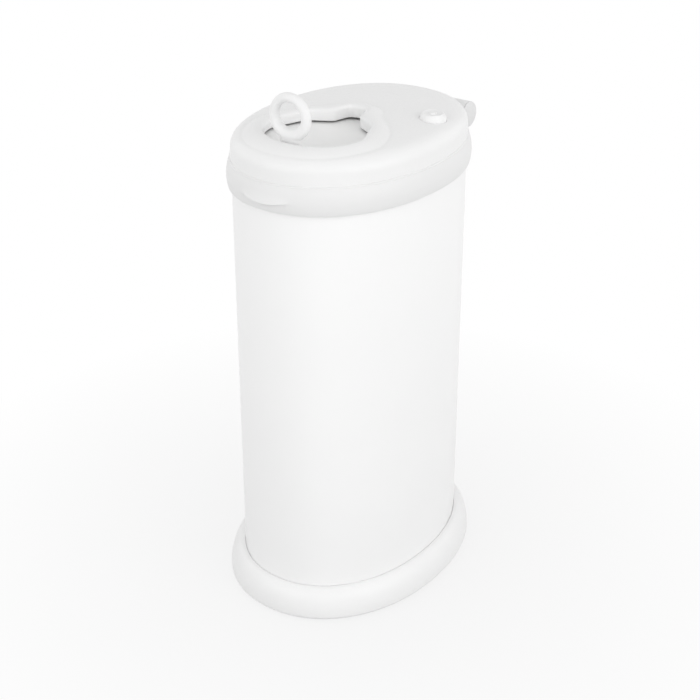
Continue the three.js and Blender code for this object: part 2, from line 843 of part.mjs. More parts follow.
function lidBase() {
  const plate = loft([ovalRing(-baseInset, baseBottom, innerSteps), ovalRing(-baseInset, baseTop, innerSteps)]);
  const opening = loft([
    superellipse(dropHalfWidth, dropHalfDepth, dropPower, baseBottom - overrun, innerSteps, dropMiddle),
    superellipse(dropHalfWidth, dropHalfDepth, dropPower, wiperBottom, innerSteps, dropMiddle),
  ]);
  const wall = dropRing(0, dropWall, baseBottom, wiperBottom - fitGap);
  const postTop = baseTop + springPostHeight;
  const springPost = post(buttonX, buttonY, springPostRadius, baseBottom, postTop, screwSides);
  const holes = lidScrewPlaces.map(([x, y]) => {
    return post(x, y, screwHole, baseBottom - overrun, baseTop + overrun, screwSides);
  });
  const reach = lidKnuckleHalf + fitGap;
  const flat = hingeY - knuckleFlat - fitGap;
  const back = block([-reach, flat, baseBottom - overrun], [reach, hingeY + overrun, baseTop + overrun]);
  const knuckles = [-1, 1].map((side) => {
    const near = side * lidKnuckleHalf;
    const far = side * (hingeHalfLength + runGap);
    return hingeRod(knuckleRadius + runGap, Math.min(near, far), Math.max(near, far));
  });
  const solid = cut(joined(plate), opening).add(joined(wall, springPost)).add(rail(-1)).add(rail(1));
  return cut(solid, ...holes, back, ...knuckles);
}

function lidSeal() {
  const low = bagRingHeight + bagRingThickness + fitGap;
  const high = baseBottom - fitGap;
  const outer = -lidSealInset;
  const inner = outer - lidSealWidth;
  const band = ovalBand([[outer, high], [outer, low + lidSealWidth / 3], [(outer + inner) / 2, low],
    [inner, low + lidSealWidth / 3], [inner, high]], innerSteps);
  const holes = [-1, 1].map((side) => {
    const near = side * lidKnuckleHalf;
    const far = side * (hingeHalfLength + runGap);
    return hingeRod(knuckleRadius + runGap, Math.min(near, far), Math.max(near, far));
  });
  return cut(joined(band), ...holes);
}

function throatWiper() {
  const edge = (dropWall - wiperWidth) / 2;
  return dropRing(edge, edge + wiperWidth, wiperBottom, doorBottom - fitGap);
}

// Shares of the door's outline: across is of its half width, along is of the run to its straight sides.
const doorFrontShares = [[0.45, 0.05], [0.84, 0.42], [1, 1]];
const doorBackShares = [[1, 0], [0.85, 0.3], [0.62, 0.56]];
const doorTailShares = [[1, 0.8], [0.97, 0.95], [0.8, 1]];

function doorOutline() {
  const places = (shares, halfWidth, from, to) => shares.map(([across, along]) => {
    return new THREE.Vector2(across * halfWidth, from + along * (to - from));
  });
  const mirrored = (points) => points.map((point) => new THREE.Vector2(-point.x, point.y)).reverse();
  const front = places(doorFrontShares, doorHalfWidth, doorFront, doorStraightFront);
  const back = [
    ...places(doorBackShares, doorHalfWidth, doorStraightBack, doorBack),
    ...places(doorTailShares, doorTailHalfWidth, doorStraightBack, doorBack),
  ];
  const frontCurve = new THREE.SplineCurve([...mirrored(front), new THREE.Vector2(0, doorFront), ...front]);
  const backPoints = new THREE.SplineCurve(back).getPoints(14);
  return [...frontCurve.getPoints(20), ...backPoints, ...mirrored(backPoints)];
}

function slideDoor() {
  const shape = new THREE.Shape(doorOutline());
  const plate = new THREE.ExtrudeGeometry(shape, { depth: doorThickness, bevelEnabled: false });
  plate.translate(0, 0, doorBottom);
  const dishShares = [[1.03, -0.12], [0.9, 0.42], [0.65, 0.8], [0.3, 0.97]];
  const dish = loft(dishShares.map(([spread, depth]) => superellipse(
    dishHalfWidth * spread,
    dishHalfDepth * spread,
    dishPower,
    doorTop - depth * dishDepth,
    innerSteps,
    dishMiddle,
  )), false);
  const cuts = [-1, 1].flatMap((side) => {
    const x = side * handleScrewX;
    const seat = doorBottom + fitGap + screwHeadHeight;
    return [
      post(x, handleY, screwHole, seat, doorTop + overrun, screwSides),
      post(x, handleY, screwHeadRadius + fitGap, doorBottom - overrun, seat + fitGap, screwSides),
    ];
  });
  return cut(joined(plate), dish, ...cuts);
}

function ringHandle() {
  const torus = new THREE.TorusGeometry(ringRadius, ringTube, 10, 32);
  torus.rotateX(Math.PI / 2);
  torus.translate(0, handleY, ringHeight);
  const low = doorTop + fitGap;
  const high = ringHeight - ringRadius - ringTube / 3;
  const column = (spread, height) => superellipse(
    handleFootHalfWidth * spread,
    handleFootHalfDepth * spread,
    dropPower,
    height,
    20,
    handleY,
  );
  const foot = loft([column(1, low), column(0.95, (low + high) / 2), column(0.93, high)], false);
  const holeTop = doorBottom + fitGap + screwHeadHeight + handleScrewReach + fitGap;
  const holes = [-1, 1].map((side) => {
    return post(side * handleScrewX, handleY, screwHole, low - overrun, holeTop, screwSides);
  });
  return cut(joined(torus, foot), ...holes);
}

// The button is a low cone with a rounded edge, and its skirt reaches down into the lid's hole.
function lockButton() {
  const low = crownOverButton - buttonSink;
  const dotTop = buttonTop + buttonDotHeight;
  const stemLow = lockBarHeight + lockBarThickness + fitGap;
  const edge = buttonRound * Math.SQRT1_2;
  const profile = [
    [0, stemLow],
    [buttonStemRadius, stemLow],
    [buttonStemRadius, low],
    [buttonRadius, low],
    [buttonRadius, low + buttonSkirt],
    [buttonTopRadius + buttonRound, buttonTop - buttonRound],
    [buttonTopRadius + edge, buttonTop - buttonRound + edge],
    [buttonTopRadius, buttonTop],
    [buttonDotRadius + buttonDotHeight / 2, buttonTop],
    [buttonDotRadius, dotTop],
    [0, dotTop],
  ];
  const geometry = turned(profile, 28);
  geometry.translate(buttonX, buttonY, 0);
  return geometry;
}

// The bar runs from under the button to the peg behind the door's tail.
function lockBar() {
  const high = lockBarHeight + lockBarThickness;
  const length = Math.hypot(pegX - buttonX, pegY - buttonY);
  const stretch = new THREE.BoxGeometry(length, lockBarWidth, lockBarThickness);
  stretch.rotateZ(Math.atan2(pegY - buttonY, pegX - buttonX));
  stretch.translate((pegX + buttonX) / 2, (pegY + buttonY) / 2, (high + lockBarHeight) / 2);
  return joined(
    stretch,
    post(buttonX, buttonY, lockBarWidth / 2, lockBarHeight, high, 16),
    post(pegX, pegY, lockBarWidth / 2, lockBarHeight, high, 16),
    post(pegX, pegY, pegRadius, lockBarHeight - pegReach, high, 16),
  );
}

// A closed tube wound round the spring's axis.
function lockSpring() {
  const low = baseTop + fitGap + springWire;
  const high = lockBarHeight - fitGap - springWire;
  const steps = springTurns * springStepsPerTurn;
  const rings = [];
  for (let step = 0; step <= steps; step += 1) {
    const turn = (step / springStepsPerTurn) * Math.PI * 2;
    const height = low + ((high - low) * step) / steps;
    const ring = [];
    for (let side = 0; side < springSides; side += 1) {
      const angle = (side / springSides) * Math.PI * 2;
      const radius = springRadius + springWire * Math.cos(angle);
      ring.push(new THREE.Vector3(
        buttonX + radius * Math.cos(turn),
        buttonY + radius * Math.sin(turn),
        height + springWire * Math.sin(angle),
      ));
    }
    rings.push(ring);
  }
  return loft(rings, false);
}

const paintedSteel = new THREE.MeshStandardMaterial({ color: 0xf4f4f4, roughness: 0.45, metalness: 0.1 });
const glossPlastic = new THREE.MeshStandardMaterial({ color: 0xf2f2f1, roughness: 0.3, metalness: 0 });
const satinPlastic = new THREE.MeshStandardMaterial({ color: 0xeeeeec, roughness: 0.5, metalness: 0 });
const rubber = new THREE.MeshStandardMaterial({ color: 0xb9b9b6, roughness: 0.85, metalness: 0 });
const steel = new THREE.MeshStandardMaterial({ color: 0xb8babc, roughness: 0.3, metalness: 1 });

const bin = new THREE.Group();
const lid = new THREE.Group();
const slider = new THREE.Group();
const lock = new THREE.Group();
bin.add(lid);
lid.add(slider, lock);

// Hangs a named mesh with its own material on a group.
function add(group, name, shape, material) {
  const geometry = shape.isBufferGeometry ? shape : geometryOf(shape);
  const mesh = new THREE.Mesh(geometry, material.clone());
  mesh.name = name;
  group.add(mesh);
}

add(bin, 'body_shell', bodyShell(), paintedSteel);
add(bin, 'base_foot', baseFoot(), glossPlastic);
add(bin, 'floor_pan', floorPan(), satinPlastic);
padPlaces.forEach((place, index) => add(bin, `foot_pad_${index + 1}`, footPad(place), rubber));
baseScrewPlaces.forEach(({ x, y }, index) => {
  add(bin, `base_screw_${index + 1}`, screw(x, y, footShelfHeight - fitGap, true), steel);
});
add(bin, 'collar', collar(), glossPlastic);
collarScrewPlaces.forEach(({ x, y }, index) => {
  add(bin, `collar_screw_${index + 1}`, screw(x, y, ledgeHeight + fitGap, false), steel);
});
add(bin, 'bag_ring', bagRing(), satinPlastic);
add(bin, 'hinge_pin', hingePin(), steel);
add(bin, 'hinge_cap_left', hingeCap(-1), glossPlastic);
add(bin, 'hinge_cap_right', hingeCap(1), glossPlastic);

add(lid, 'lid_cover', lidCover(), glossPlastic);
add(lid, 'lid_base', lidBase(), satinPlastic);
add(lid, 'lid_seal', lidSeal(), rubber);
add(lid, 'throat_wiper', throatWiper(), rubber);
lidScrewPlaces.forEach(([x, y], index) => {
  add(lid, `lid_screw_${index + 1}`, screw(x, y, baseBottom - fitGap, true), steel);
});

add(slider, 'slide_door', slideDoor(), satinPlastic);
add(slider, 'ring_handle', ringHandle(), glossPlastic);
[-1, 1].forEach((side, index) => {
  const seat = doorBottom + fitGap + screwHeadHeight;
  add(slider, `handle_screw_${index + 1}`, screw(side * handleScrewX, handleY, seat, true), steel);
});

add(lock, 'lock_button', lockButton(), glossPlastic);
add(lock, 'lock_bar', lockBar(), satinPlastic);
add(lock, 'lock_spring', lockSpring(), steel);

export default bin;
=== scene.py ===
"""A white nappy bin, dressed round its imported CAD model. Metres, +Z up, the front is -Y."""
import math
from bisect import bisect_right

import bmesh
import bpy
from mathutils import Matrix, Vector


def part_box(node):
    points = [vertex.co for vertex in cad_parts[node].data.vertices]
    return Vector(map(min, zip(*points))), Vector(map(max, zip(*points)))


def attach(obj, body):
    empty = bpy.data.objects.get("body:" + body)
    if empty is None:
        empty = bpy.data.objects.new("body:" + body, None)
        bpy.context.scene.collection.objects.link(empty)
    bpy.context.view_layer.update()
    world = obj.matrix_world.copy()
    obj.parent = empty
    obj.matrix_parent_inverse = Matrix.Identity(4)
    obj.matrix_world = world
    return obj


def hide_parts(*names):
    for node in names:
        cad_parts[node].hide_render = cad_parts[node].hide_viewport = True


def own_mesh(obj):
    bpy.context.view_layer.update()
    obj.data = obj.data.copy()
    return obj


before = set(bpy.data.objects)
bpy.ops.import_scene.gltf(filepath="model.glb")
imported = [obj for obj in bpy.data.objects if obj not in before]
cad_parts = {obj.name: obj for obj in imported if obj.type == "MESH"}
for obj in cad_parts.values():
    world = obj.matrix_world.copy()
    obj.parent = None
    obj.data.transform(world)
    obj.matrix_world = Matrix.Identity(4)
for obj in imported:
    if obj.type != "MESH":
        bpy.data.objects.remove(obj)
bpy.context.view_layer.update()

# Lengths are in millimetres, as in the CAD, and meshes are scaled to metres as they are made.
MM = 0.001

# The oval that the pail, foot, collar and lid share.
HALF_WIDTH = 116.0
HALF_DEPTH = 157.2
POWER = 2.12
ROUND = 240

# The gap between seated pieces, the gap between moving ones, and how far a cut goes past a face.
FIT = 0.3
RUN = 0.6
OVERRUN = 2.0

# The pail and the collar.
SHELL_BOTTOM = 16.0
SHELL_TOP = 533.7
COLLAR_BOTTOM = 518.0
COLLAR_TOP = 548.7
LEDGE = 537.0
LEDGE_THICKNESS = 3.0

# The finger lip on the collar's front.
LIP_HALF = 29.5
LIP_REACH = 5.1
LIP_LOW = 527.8
LIP_END_RISE = 3.5

# The lid: a crown inside a rounded shoulder, on a skirt that stands a little proud of the oval.
LID_TOP = 584.0
LID_BOTTOM = 549.2
LID_WALL = 2.6
LID_PROUD = 0.4
CROWN = 5.5
CROWN_INSET = 17.8
CROWN_HALF_WIDTH = HALF_WIDTH - CROWN_INSET
CROWN_HALF_DEPTH = HALF_DEPTH - CROWN_INSET
SHOULDER_TOP = LID_TOP - CROWN
SHOULDER_BOTTOM = 562.2
BASE_BOTTOM = 549.5
BASE_TOP = 552.0

# The raised lip round the recess. Its crest is at a share of the way from the rim to the throat.
THROAT_LIP = 3.7
THROAT_ROUND = 4.5
THROAT_CREST_SHARE = 0.68
THROAT_BOTTOM = 572.3
THROAT_WALL = 2.4

# The opening in the lid's base under the door: half its width and depth, its power and its middle.
DROP_HALF_WIDTH = 58.0
DROP_HALF_DEPTH = 50.5
DROP_POWER = 2.4
DROP_MIDDLE = -62.5

# The hinge, the button, the door and the screws.
HINGE_Y = 160.2
HINGE_Z = 550.0
KNUCKLE = 15.6
KNUCKLE_EDGE = 0.6
LID_KNUCKLE_HALF = 38.0
KNUCKLE_END = 57.2
HINGE_HALF = 59.5
PIN_HOLE = 4.3
BUTTON_X = 80.5
BUTTON_Y = 43.5
BUTTON_CROWN = 579.86
DOOR_TOP = 570.0
DOOR_BOTTOM = 564.8
HANDLE_Y = -112.0
SCREW_HOLE = 2.1
BOSS = 4.5

# The undersides that the foot's and the handle's screws are driven up against.
FOOT_SEAT = 12.7
HANDLE_SEAT = 567.4

# The camera stands where the photograph was taken.
CAMERA_AZIMUTH = math.radians(35.6)
CAMERA_PITCH = math.radians(25.08)
CAMERA_DISTANCE = 1.4648
CAMERA_HEIGHT = 1.0594
CAMERA_LENS = 69.8
CAMERA_SHIFT = (-0.0027, -0.0985)


def even_turns(count):
    return [2 * math.pi * step / count for step in range(count)]


def signed_power(value, power):
    return math.copysign(abs(value) ** power, value)


def superellipse_at(half_width, half_depth, power, turn, middle=0.0):
    x = half_width * signed_power(math.cos(turn), 2 / power)
    y = half_depth * signed_power(math.sin(turn), 2 / power)
    return Vector((x, y + middle))


def superellipse(half_width, half_depth, power, height, count, middle=0.0):
    places = [superellipse_at(half_width, half_depth, power, turn, middle) for turn in even_turns(count)]
    return level(places, height)


def oval_at(offset, turn):
    """A place on the pail's oval moved outwards along its normal."""
    place = superellipse_at(HALF_WIDTH, HALF_DEPTH, POWER, turn)
    slope = Vector((
        signed_power(place.x / HALF_WIDTH, POWER - 1) / HALF_WIDTH,
        signed_power(place.y / HALF_DEPTH, POWER - 1) / HALF_DEPTH,
    ))
    return place + slope.normalized() * offset


def oval(offset, height, turns=None):
    return level([oval_at(offset, turn) for turn in turns or even_turns(ROUND)], height)


def level(plan, height):
    return [Vector((x, y, height)) for x, y in plan]


def loft(rings, endless=False):
    """Skins rings of equal count. An endless loft joins its last ring to its first, and others are capped."""
    count = len(rings[0])
    points = [point for ring in rings for point in ring]
    faces = []
    for lower in range(len(rings) if endless else len(rings) - 1):
        low = lower * count
        high = (lower + 1) % len(rings) * count
        for step in range(count):
            after = (step + 1) % count
            faces.append((low + step, low + after, high + after, high + step))
    if not endless:
        faces.append(tuple(reversed(range(count))))
        faces.append(tuple(range(len(points) - count, len(points))))
    return points, faces


def rounded(section, radius, steps=3):
    """A closed section of (across, up) corners, each rounded. A third value is a corner's own radius."""
    longest_share = 0.45
    corners = [Vector(corner[:2]) for corner in section]
    points = []
    for index, here in enumerate(corners):
        reach = section[index][2] if len(section[index]) > 2 else radius
        before = corners[index - 1] - here
        after = corners[(index + 1) % len(corners)] - here
        start = here + before.normalized() * min(reach, before.length * longest_share)
        end = here + after.normalized() * min(reach, after.length * longest_share)
        for step in range(steps + 1):
            share = step / steps
            points.append(start * (1 - share) ** 2 + here * 2 * share * (1 - share) + end * share ** 2)
    return points


def quarter(middle, reach, shares):
    """Places on a quarter of an ellipse, from its side at share 0 to its top at 1."""
    places = []
    for share in shares:
        turn = math.pi / 2 * share
        places.append((middle[0] + reach[0] * math.cos(turn), middle[1] + reach[1] * math.sin(turn)))
    return places


def band(section, radius, steps=3):
    """A ring round the oval with the given section, each corner being (outward offset, height)."""
    return loft([oval(offset, height) for offset, height in rounded(section, radius, steps)], endless=True)


def lathe(profile, x=0.0, y=0.0, count=48):
    """Turns a profile of (radius, height) about Z. It starts and ends with a flat face."""
    rings = []
    for radius, height in profile:
        places = [(x + radius * math.cos(turn), y + radius * math.sin(turn)) for turn in even_turns(count)]
        rings.append(level(places, height))
    return loft(rings)


def hinge_turned(profile):
    """Turns a profile of (radius, place along X) about the hinge's axis."""
    points, faces = lathe(profile, count=96)
    return [Vector((point.z, HINGE_Y + point.x, HINGE_Z + point.y)) for point in points], faces


def rod(radius, start, end, edge=0.0):
    """A round rod on the hinge's axis, its ends softened by an edge."""
    if not edge:
        return hinge_turned([(radius, start), (radius, end)])
    bend = edge * 0.3
    near = [(radius - edge, start), (radius - bend, start + bend), (radius, start + edge)]
    far = [(radius, end - edge), (radius - bend, end - bend), (radius - edge, end)]
    return hinge_turned(near + far)


def post(x, y, radius, low, high, count):
    return lathe([(radius, low), (radius, high)], x, y, count)


def screw_holes(places, low, high):
    return merged(*[post(x, y, SCREW_HOLE, low, high, 24) for x, y in places])


def block(low, high):
    plan = [(low[0], low[1]), (high[0], low[1]), (high[0], high[1]), (low[0], high[1])]
    corners = level(plan, low[2]) + level(plan, high[2])
    faces = [(3, 2, 1, 0), (4, 5, 6, 7), (0, 1, 5, 4), (1, 2, 6, 5), (2, 3, 7, 6), (3, 0, 4, 7)]
    return corners, faces


def merged(*forms):
    """One form of several that don't touch each other."""
    points = []
    faces = []
    for form_points, form_faces in forms:
        start = len(points)
        points += form_points
        faces += [tuple(index + start for index in face) for face in form_faces]
    return points, faces


def knuckle_room():
    """What is cut from the lid's pieces so that they turn past the collar's knuckles."""
    end = HINGE_HALF + RUN
    right = rod(KNUCKLE + RUN, LID_KNUCKLE_HALF, end)
    left = rod(KNUCKLE + RUN, -end, -LID_KNUCKLE_HALF)
    return merged(right, left)


def mesh_of(name, form):
    """A mesh in metres from a form in millimetres, with its faces turned outwards."""
    points, faces = form
    mesh = bpy.data.meshes.new(name)
    mesh.from_pydata([tuple(point * MM) for point in points], [], faces)
    editable = bmesh.new()
    editable.from_mesh(mesh)
    bmesh.ops.recalc_face_normals(editable, faces=editable.faces)
    editable.to_mesh(mesh)
    editable.free()
    return mesh


def form_of(mesh):
    return [vertex.co / MM for vertex in mesh.vertices], [tuple(face.vertices) for face in mesh.polygons]


def temporary(name, form):
    obj = bpy.data.objects.new(name, mesh_of(name, form))
    bpy.context.scene.collection.objects.link(obj)
    return obj


def evaluated(obj, name):
    """The mesh of an object with its modifiers applied. The object is deleted."""
    graph = bpy.context.evaluated_depsgraph_get()
    mesh = bpy.data.meshes.new_from_object(obj.evaluated_get(graph))
    mesh.name = name
    bpy.data.objects.remove(obj)
    return mesh


def add_boolean(obj, operation, form):
    """Gives an object a boolean modifier and returns the temporary object that it works with."""
    tool = temporary(obj.name + "_tool", form)
    modifier = obj.modifiers.new(operation, "BOOLEAN")
    modifier.operation = operation
    modifier.solver = "EXACT"
    modifier.object = tool
    return tool


def carved(name, form, added=(), removed=()):
    """The mesh of a form with others joined to it and then cut out of it."""
    obj = temporary(name, form)
    tools = [add_boolean(obj, "UNION", other) for other in added]
    tools += [add_boolean(obj, "DIFFERENCE", other) for other in removed]
    mesh = evaluated(obj, name)
    for tool in tools:
        bpy.data.objects.remove(tool)
    return mesh


def piece(name, mesh, body, nodes, material, sharp=38):
    """Links a finished mesh as a piece that rides on a body and stands for CAD nodes."""
    mesh.shade_smooth()
    mesh.set_sharp_from_angle(angle=math.radians(sharp))
    mesh.materials.clear()
    mesh.materials.append(material)
    obj = bpy.data.objects.new(name, mesh)
    bpy.context.scene.collection.objects.link(obj)
    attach(obj, body)
    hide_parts(*nodes)
    return obj


def surface(name, colour, shade, roughness, spread, grain, depth, metallic=0.0, shine=0.22):
    """A material that drifts between a colour and a shade, with a fine grain in its roughness and bump."""
    material = bpy.data.materials.new(name)
    material.use_nodes = True
    nodes = material.node_tree.nodes
    links = material.node_tree.links
    shader = nodes["Principled BSDF"]
    shader.inputs["Metallic"].default_value = metallic
    shader.inputs["Specular IOR Level"].default_value = shine
    place = nodes.new("ShaderNodeTexCoord")

    def noise(scale, detail):
        node = nodes.new("ShaderNodeTexNoise")
        node.inputs["Scale"].default_value = scale
        node.inputs["Detail"].default_value = detail
        links.new(place.outputs["Object"], node.inputs["Vector"])
        return node

    drift = noise(9, 3)
    mix = nodes.new("ShaderNodeMix")
    mix.data_type = "RGBA"
    mix.inputs["A"].default_value = (*colour, 1)
    mix.inputs["B"].default_value = (*shade, 1)
    links.new(drift.outputs["Fac"], mix.inputs["Factor"])
    links.new(mix.outputs["Result"], shader.inputs["Base Color"])

    fine = noise(grain, 2)
    gloss = nodes.new("ShaderNodeMapRange")
    gloss.inputs["From Min"].default_value = 0.3
    gloss.inputs["From Max"].default_value = 0.7
    gloss.inputs["To Min"].default_value = roughness - spread
    gloss.inputs["To Max"].default_value = roughness + spread
    links.new(fine.outputs["Fac"], gloss.inputs["Value"])
    links.new(gloss.outputs["Result"], shader.inputs["Roughness"])

    bump = nodes.new("ShaderNodeBump")
    bump.inputs["Strength"].default_value = depth
    bump.inputs["Distance"].default_value = 0.0002
    links.new(fine.outputs["Fac"], bump.inputs["Height"])
    links.new(bump.outputs["Normal"], shader.inputs["Normal"])
    return material


PAINTED_STEEL = surface("painted_steel", (0.90, 0.90, 0.898), (0.88, 0.88, 0.88), 0.36, 0.05, 700, 0.10)
GLOSS_PLASTIC = surface("gloss_plastic", (0.84, 0.84, 0.838), (0.82, 0.82, 0.82), 0.30, 0.04, 1500, 0.06)
SATIN_PLASTIC = surface("satin_plastic", (0.80, 0.80, 0.795), (0.78, 0.78, 0.775), 0.46, 0.06, 1800, 0.16)
COLLAR_PLASTIC = surface("collar_plastic", (0.79, 0.79, 0.788), (0.77, 0.77, 0.77), 0.36, 0.05, 1500, 0.08)
DOOR_PLASTIC = surface("door_plastic", (0.88, 0.88, 0.875), (0.86, 0.86, 0.855), 0.42, 0.06, 1700, 0.12)
CAP_PLASTIC = surface("cap_plastic", (0.76, 0.76, 0.76), (0.74, 0.74, 0.74), 0.5, 0.06, 1600, 0.14)
RUBBER = surface("rubber", (0.42, 0.42, 0.41), (0.36, 0.36, 0.35), 0.80, 0.08, 1200, 0.3)
STEEL = surface(
    "steel", (0.62, 0.63, 0.64), (0.55, 0.56, 0.57), 0.28, 0.08, 900, 0.08, metallic=1.0, shine=0.5,
)


def oval_places(inset, turns, first, stride):
    """Every so many of some even turns on the oval drawn inwards, starting with the first."""
    return [tuple(oval_at(-inset, turn)) for turn in even_turns(turns)[first::stride]]


def both_sides(places):
    return [(side * x, y) for x, y in places for side in (1, -1)]


BASE_SCREWS = oval_places(8.5, 16, 0, 4)
PAD_PLACES = oval_places(8.5, 16, 2, 4)
COLLAR_SCREWS = oval_places(8.45, 8, 1, 2)
LID_SCREWS = both_sides([(40.02, -130.95), (90.94, -14.93), (45.01, 127.96)])
HANDLE_SCREWS = [(-5, HANDLE_Y), (5, HANDLE_Y)]


def pail():
    """A sheet steel tube with a flange turned inwards at each end."""
    sheet = 1.0
    top_flange = 12.0
    bottom_flange = 15.0
    outer_bend = 2.2
    inner_bend = 1.4
    section = [
        (0, SHELL_BOTTOM, outer_bend), (0, SHELL_TOP, outer_bend),
        (-top_flange, SHELL_TOP), (-top_flange, SHELL_TOP - sheet),
        (-sheet, SHELL_TOP - sheet, inner_bend), (-sheet, SHELL_BOTTOM + sheet, inner_bend),
        (-bottom_flange, SHELL_BOTTOM + sheet), (-bottom_flange, SHELL_BOTTOM),
    ]
    low_holes = screw_holes(BASE_SCREWS, SHELL_BOTTOM - OVERRUN, SHELL_BOTTOM + OVERRUN)
    high_holes = screw_holes(COLLAR_SCREWS, SHELL_TOP - sheet - OVERRUN, SHELL_TOP + OVERRUN)
    mesh = carved("pail", band(section, 0.3), removed=[merged(low_holes, high_holes)])
    piece("pail", mesh, "bin", ["body_shell"], PAINTED_STEEL)


def foot():
    """A hollow flared foot, with a shelf inside it that the pail stands on."""
    top = 39.4
    widest = 7.0
    wall = 2.8
    lip = 1.2
    flare = 18.9
    low_flare = 11.5
    floor_gap = 1.5
    shelf_top = 15.7
    shelf_reach = 17.0
    hole_bottom = 10.0
    hole_top = 18.0
    inner = wall + FIT
    upper = quarter((lip, widest), (flare - lip, top - widest), [1 - step / 16 for step in range(17)])
    low_reach = (flare - low_flare, floor_gap - widest)
    lower = quarter((low_flare, widest), low_reach, [step / 8 for step in range(1, 9)])
    hollow_reach = (flare - wall - inner, top - widest - wall)
    hollow = quarter((inner, widest), hollow_reach, [step / 8 for step in range(9)])
    shelf = [(inner, FOOT_SEAT), (-shelf_reach, FOOT_SEAT), (-shelf_reach, shelf_top), (FIT, shelf_top)]
    section = [(FIT, top), *upper, *lower, (low_flare - wall, floor_gap), *hollow, *shelf]
    holes = screw_holes(BASE_SCREWS, hole_bottom, hole_top)
    mesh = carved("foot", band(section, 0.5, 2), removed=[holes])
    piece("foot", mesh, "bin", ["base_foot"], GLOSS_PLASTIC)


def inner_floor():
    low = 17.3
    thickness = 2.2
    boss_height = 7.0
    inset = 1.6
    edge = 0.6
    high = low + thickness
    top = high + boss_height
    rim = [(-inset - edge, low), (-inset, low + edge), (-inset, high - edge), (-inset - edge, high)]
    plate = loft([oval(offset, height) for offset, height in rim])
    boss = [(BOSS, low + 1), (BOSS, top - edge), (BOSS - edge, top)]
    bosses = [lathe(boss, x, y, 32) for x, y in BASE_SCREWS]
    holes = screw_holes(BASE_SCREWS, low - OVERRUN, top - thickness)
    mesh = carved("inner_floor", plate, added=[merged(*bosses)], removed=[holes])
    piece("inner_floor", mesh, "bin", ["floor_pan"], SATIN_PLASTIC)


def pads():
    """Rubber pads that bulge where they meet the floor."""
    profile = [(5.6, 0), (7.0, 0.15), (7.7, 0.6), (8, 1.4), (7.2, 12.1), (7.0, 12.4)]
    for index, (x, y) in enumerate(PAD_PLACES, 1):
        mesh = mesh_of(f"pad_{index}", lathe(profile, x, y))
        piece(f"pad_{index}", mesh, "bin", [f"foot_pad_{index}"], RUBBER)


def screw_mesh(name, upwards):
    """A domed head with a cross recess, and a shank below it. The origin is under the head."""
    shank = 1.8
    profile = [
        (0.4, -9), (shank, -7.2), (shank, 0), (3.3, 0), (3.4, 0.2), (3.4, 0.9), (3.1, 1.4), (2.5, 1.8),
        (1.6, 2), (0.6, 2),
    ]
    long = 1.9
    narrow = 0.35
    low = 0.9
    high = 3.0
    slots = [
        block((-long, -narrow, low), (long, narrow, high)),
        block((-narrow, -long, low), (narrow, long, high)),
    ]
    mesh = carved(name, lathe(profile, count=40), removed=slots)
    if upwards:
        for vertex in mesh.vertices:
            vertex.co = Vector((vertex.co.x, -vertex.co.y, -vertex.co.z))
    return mesh


def screws(name, node, mesh, places, seat, body):
    """Screws with the undersides of their heads at a seat's height."""
    for index, (x, y) in enumerate(places, 1):
        placed = mesh.copy()
        placed.transform(Matrix.Translation(Vector((x, y, seat)) * MM))
        piece(f"{name}_{index}", placed, body, [f"{node}_{index}"], STEEL)


def collar_proud(height):
    """How far the collar's outside stands out from the oval: it leans in upwards, and bulges halfway."""
    low_proud = 4.0
    lean = 1.8
    bulge = 2.7
    share = (height - COLLAR_BOTTOM) / (COLLAR_TOP - COLLAR_BOTTOM)
    return low_proud - lean * share + bulge * 4 * share * (1 - share)


def collar_outside(turn):
    """One column of the collar's outside, from low to high, which carries the finger lip near the front."""
    x, y = oval_at(0, turn)
    along = min(abs(x / LIP_HALF), 1.0) if y < 0 else 1.0
    reach = LIP_REACH * (1 - along ** 2)
    low = LIP_LOW + LIP_END_RISE * along ** 2
    lip_shares = [
        (0.80, -0.25), (0.93, 0), (1, 0.55), (0.98, 1.1), (0.86, 1.7), (0.66, 2.5), (0.45, 3.6), (0.26, 5.1),
        (0.11, 7.1), (0.03, 9.2), (0, 11),
    ]
    rows = [(collar_proud(height), height) for height in (519.2, 521, 523, 525.2, low - 0.9)]
    rows += [(collar_proud(low + rise) + reach * share, low + rise) for share, rise in lip_shares]
    rows += [(collar_proud(height), height) for height in (544, 546, 547.4)]
    return rows


def collar_rings():
    """The collar's section, carried round the oval with the finger lip in it."""
    bottom = [(0.3, 534), (0.3, 518.5), (0.6, 518), (3.4, 518), (3.95, 518.25)]
    bead = [
        (2.45, 548.1), (2.52, 548.4), (2.42, 548.75), (2.15, 549.15), (1.8, 549.55), (1.5, 549.85),
        (1.32, 550), (1.2, 550.02), (1.2, 549.13),
    ]
    seat = [(-1.9, 549.13), (-2.2, COLLAR_TOP), (-3.4, COLLAR_TOP), (-3.9, 548.5), (-4, 548)]
    ledge = [
        (-4, 537.5), (-4.3, 537.1), (-4.8, LEDGE), (-14.6, LEDGE), (-15, 536.6), (-15, 534.4),
        (-14.6, LEDGE - LEDGE_THICKNESS),
    ]
    columns = []
    for turn in lid_turns():
        rows = bottom + collar_outside(turn) + bead + seat + ledge
        columns.append([oval_at(offset, turn).to_3d() + Vector((0, 0, height)) for offset, height in rows])
    return [list(ring) for ring in zip(*columns)]


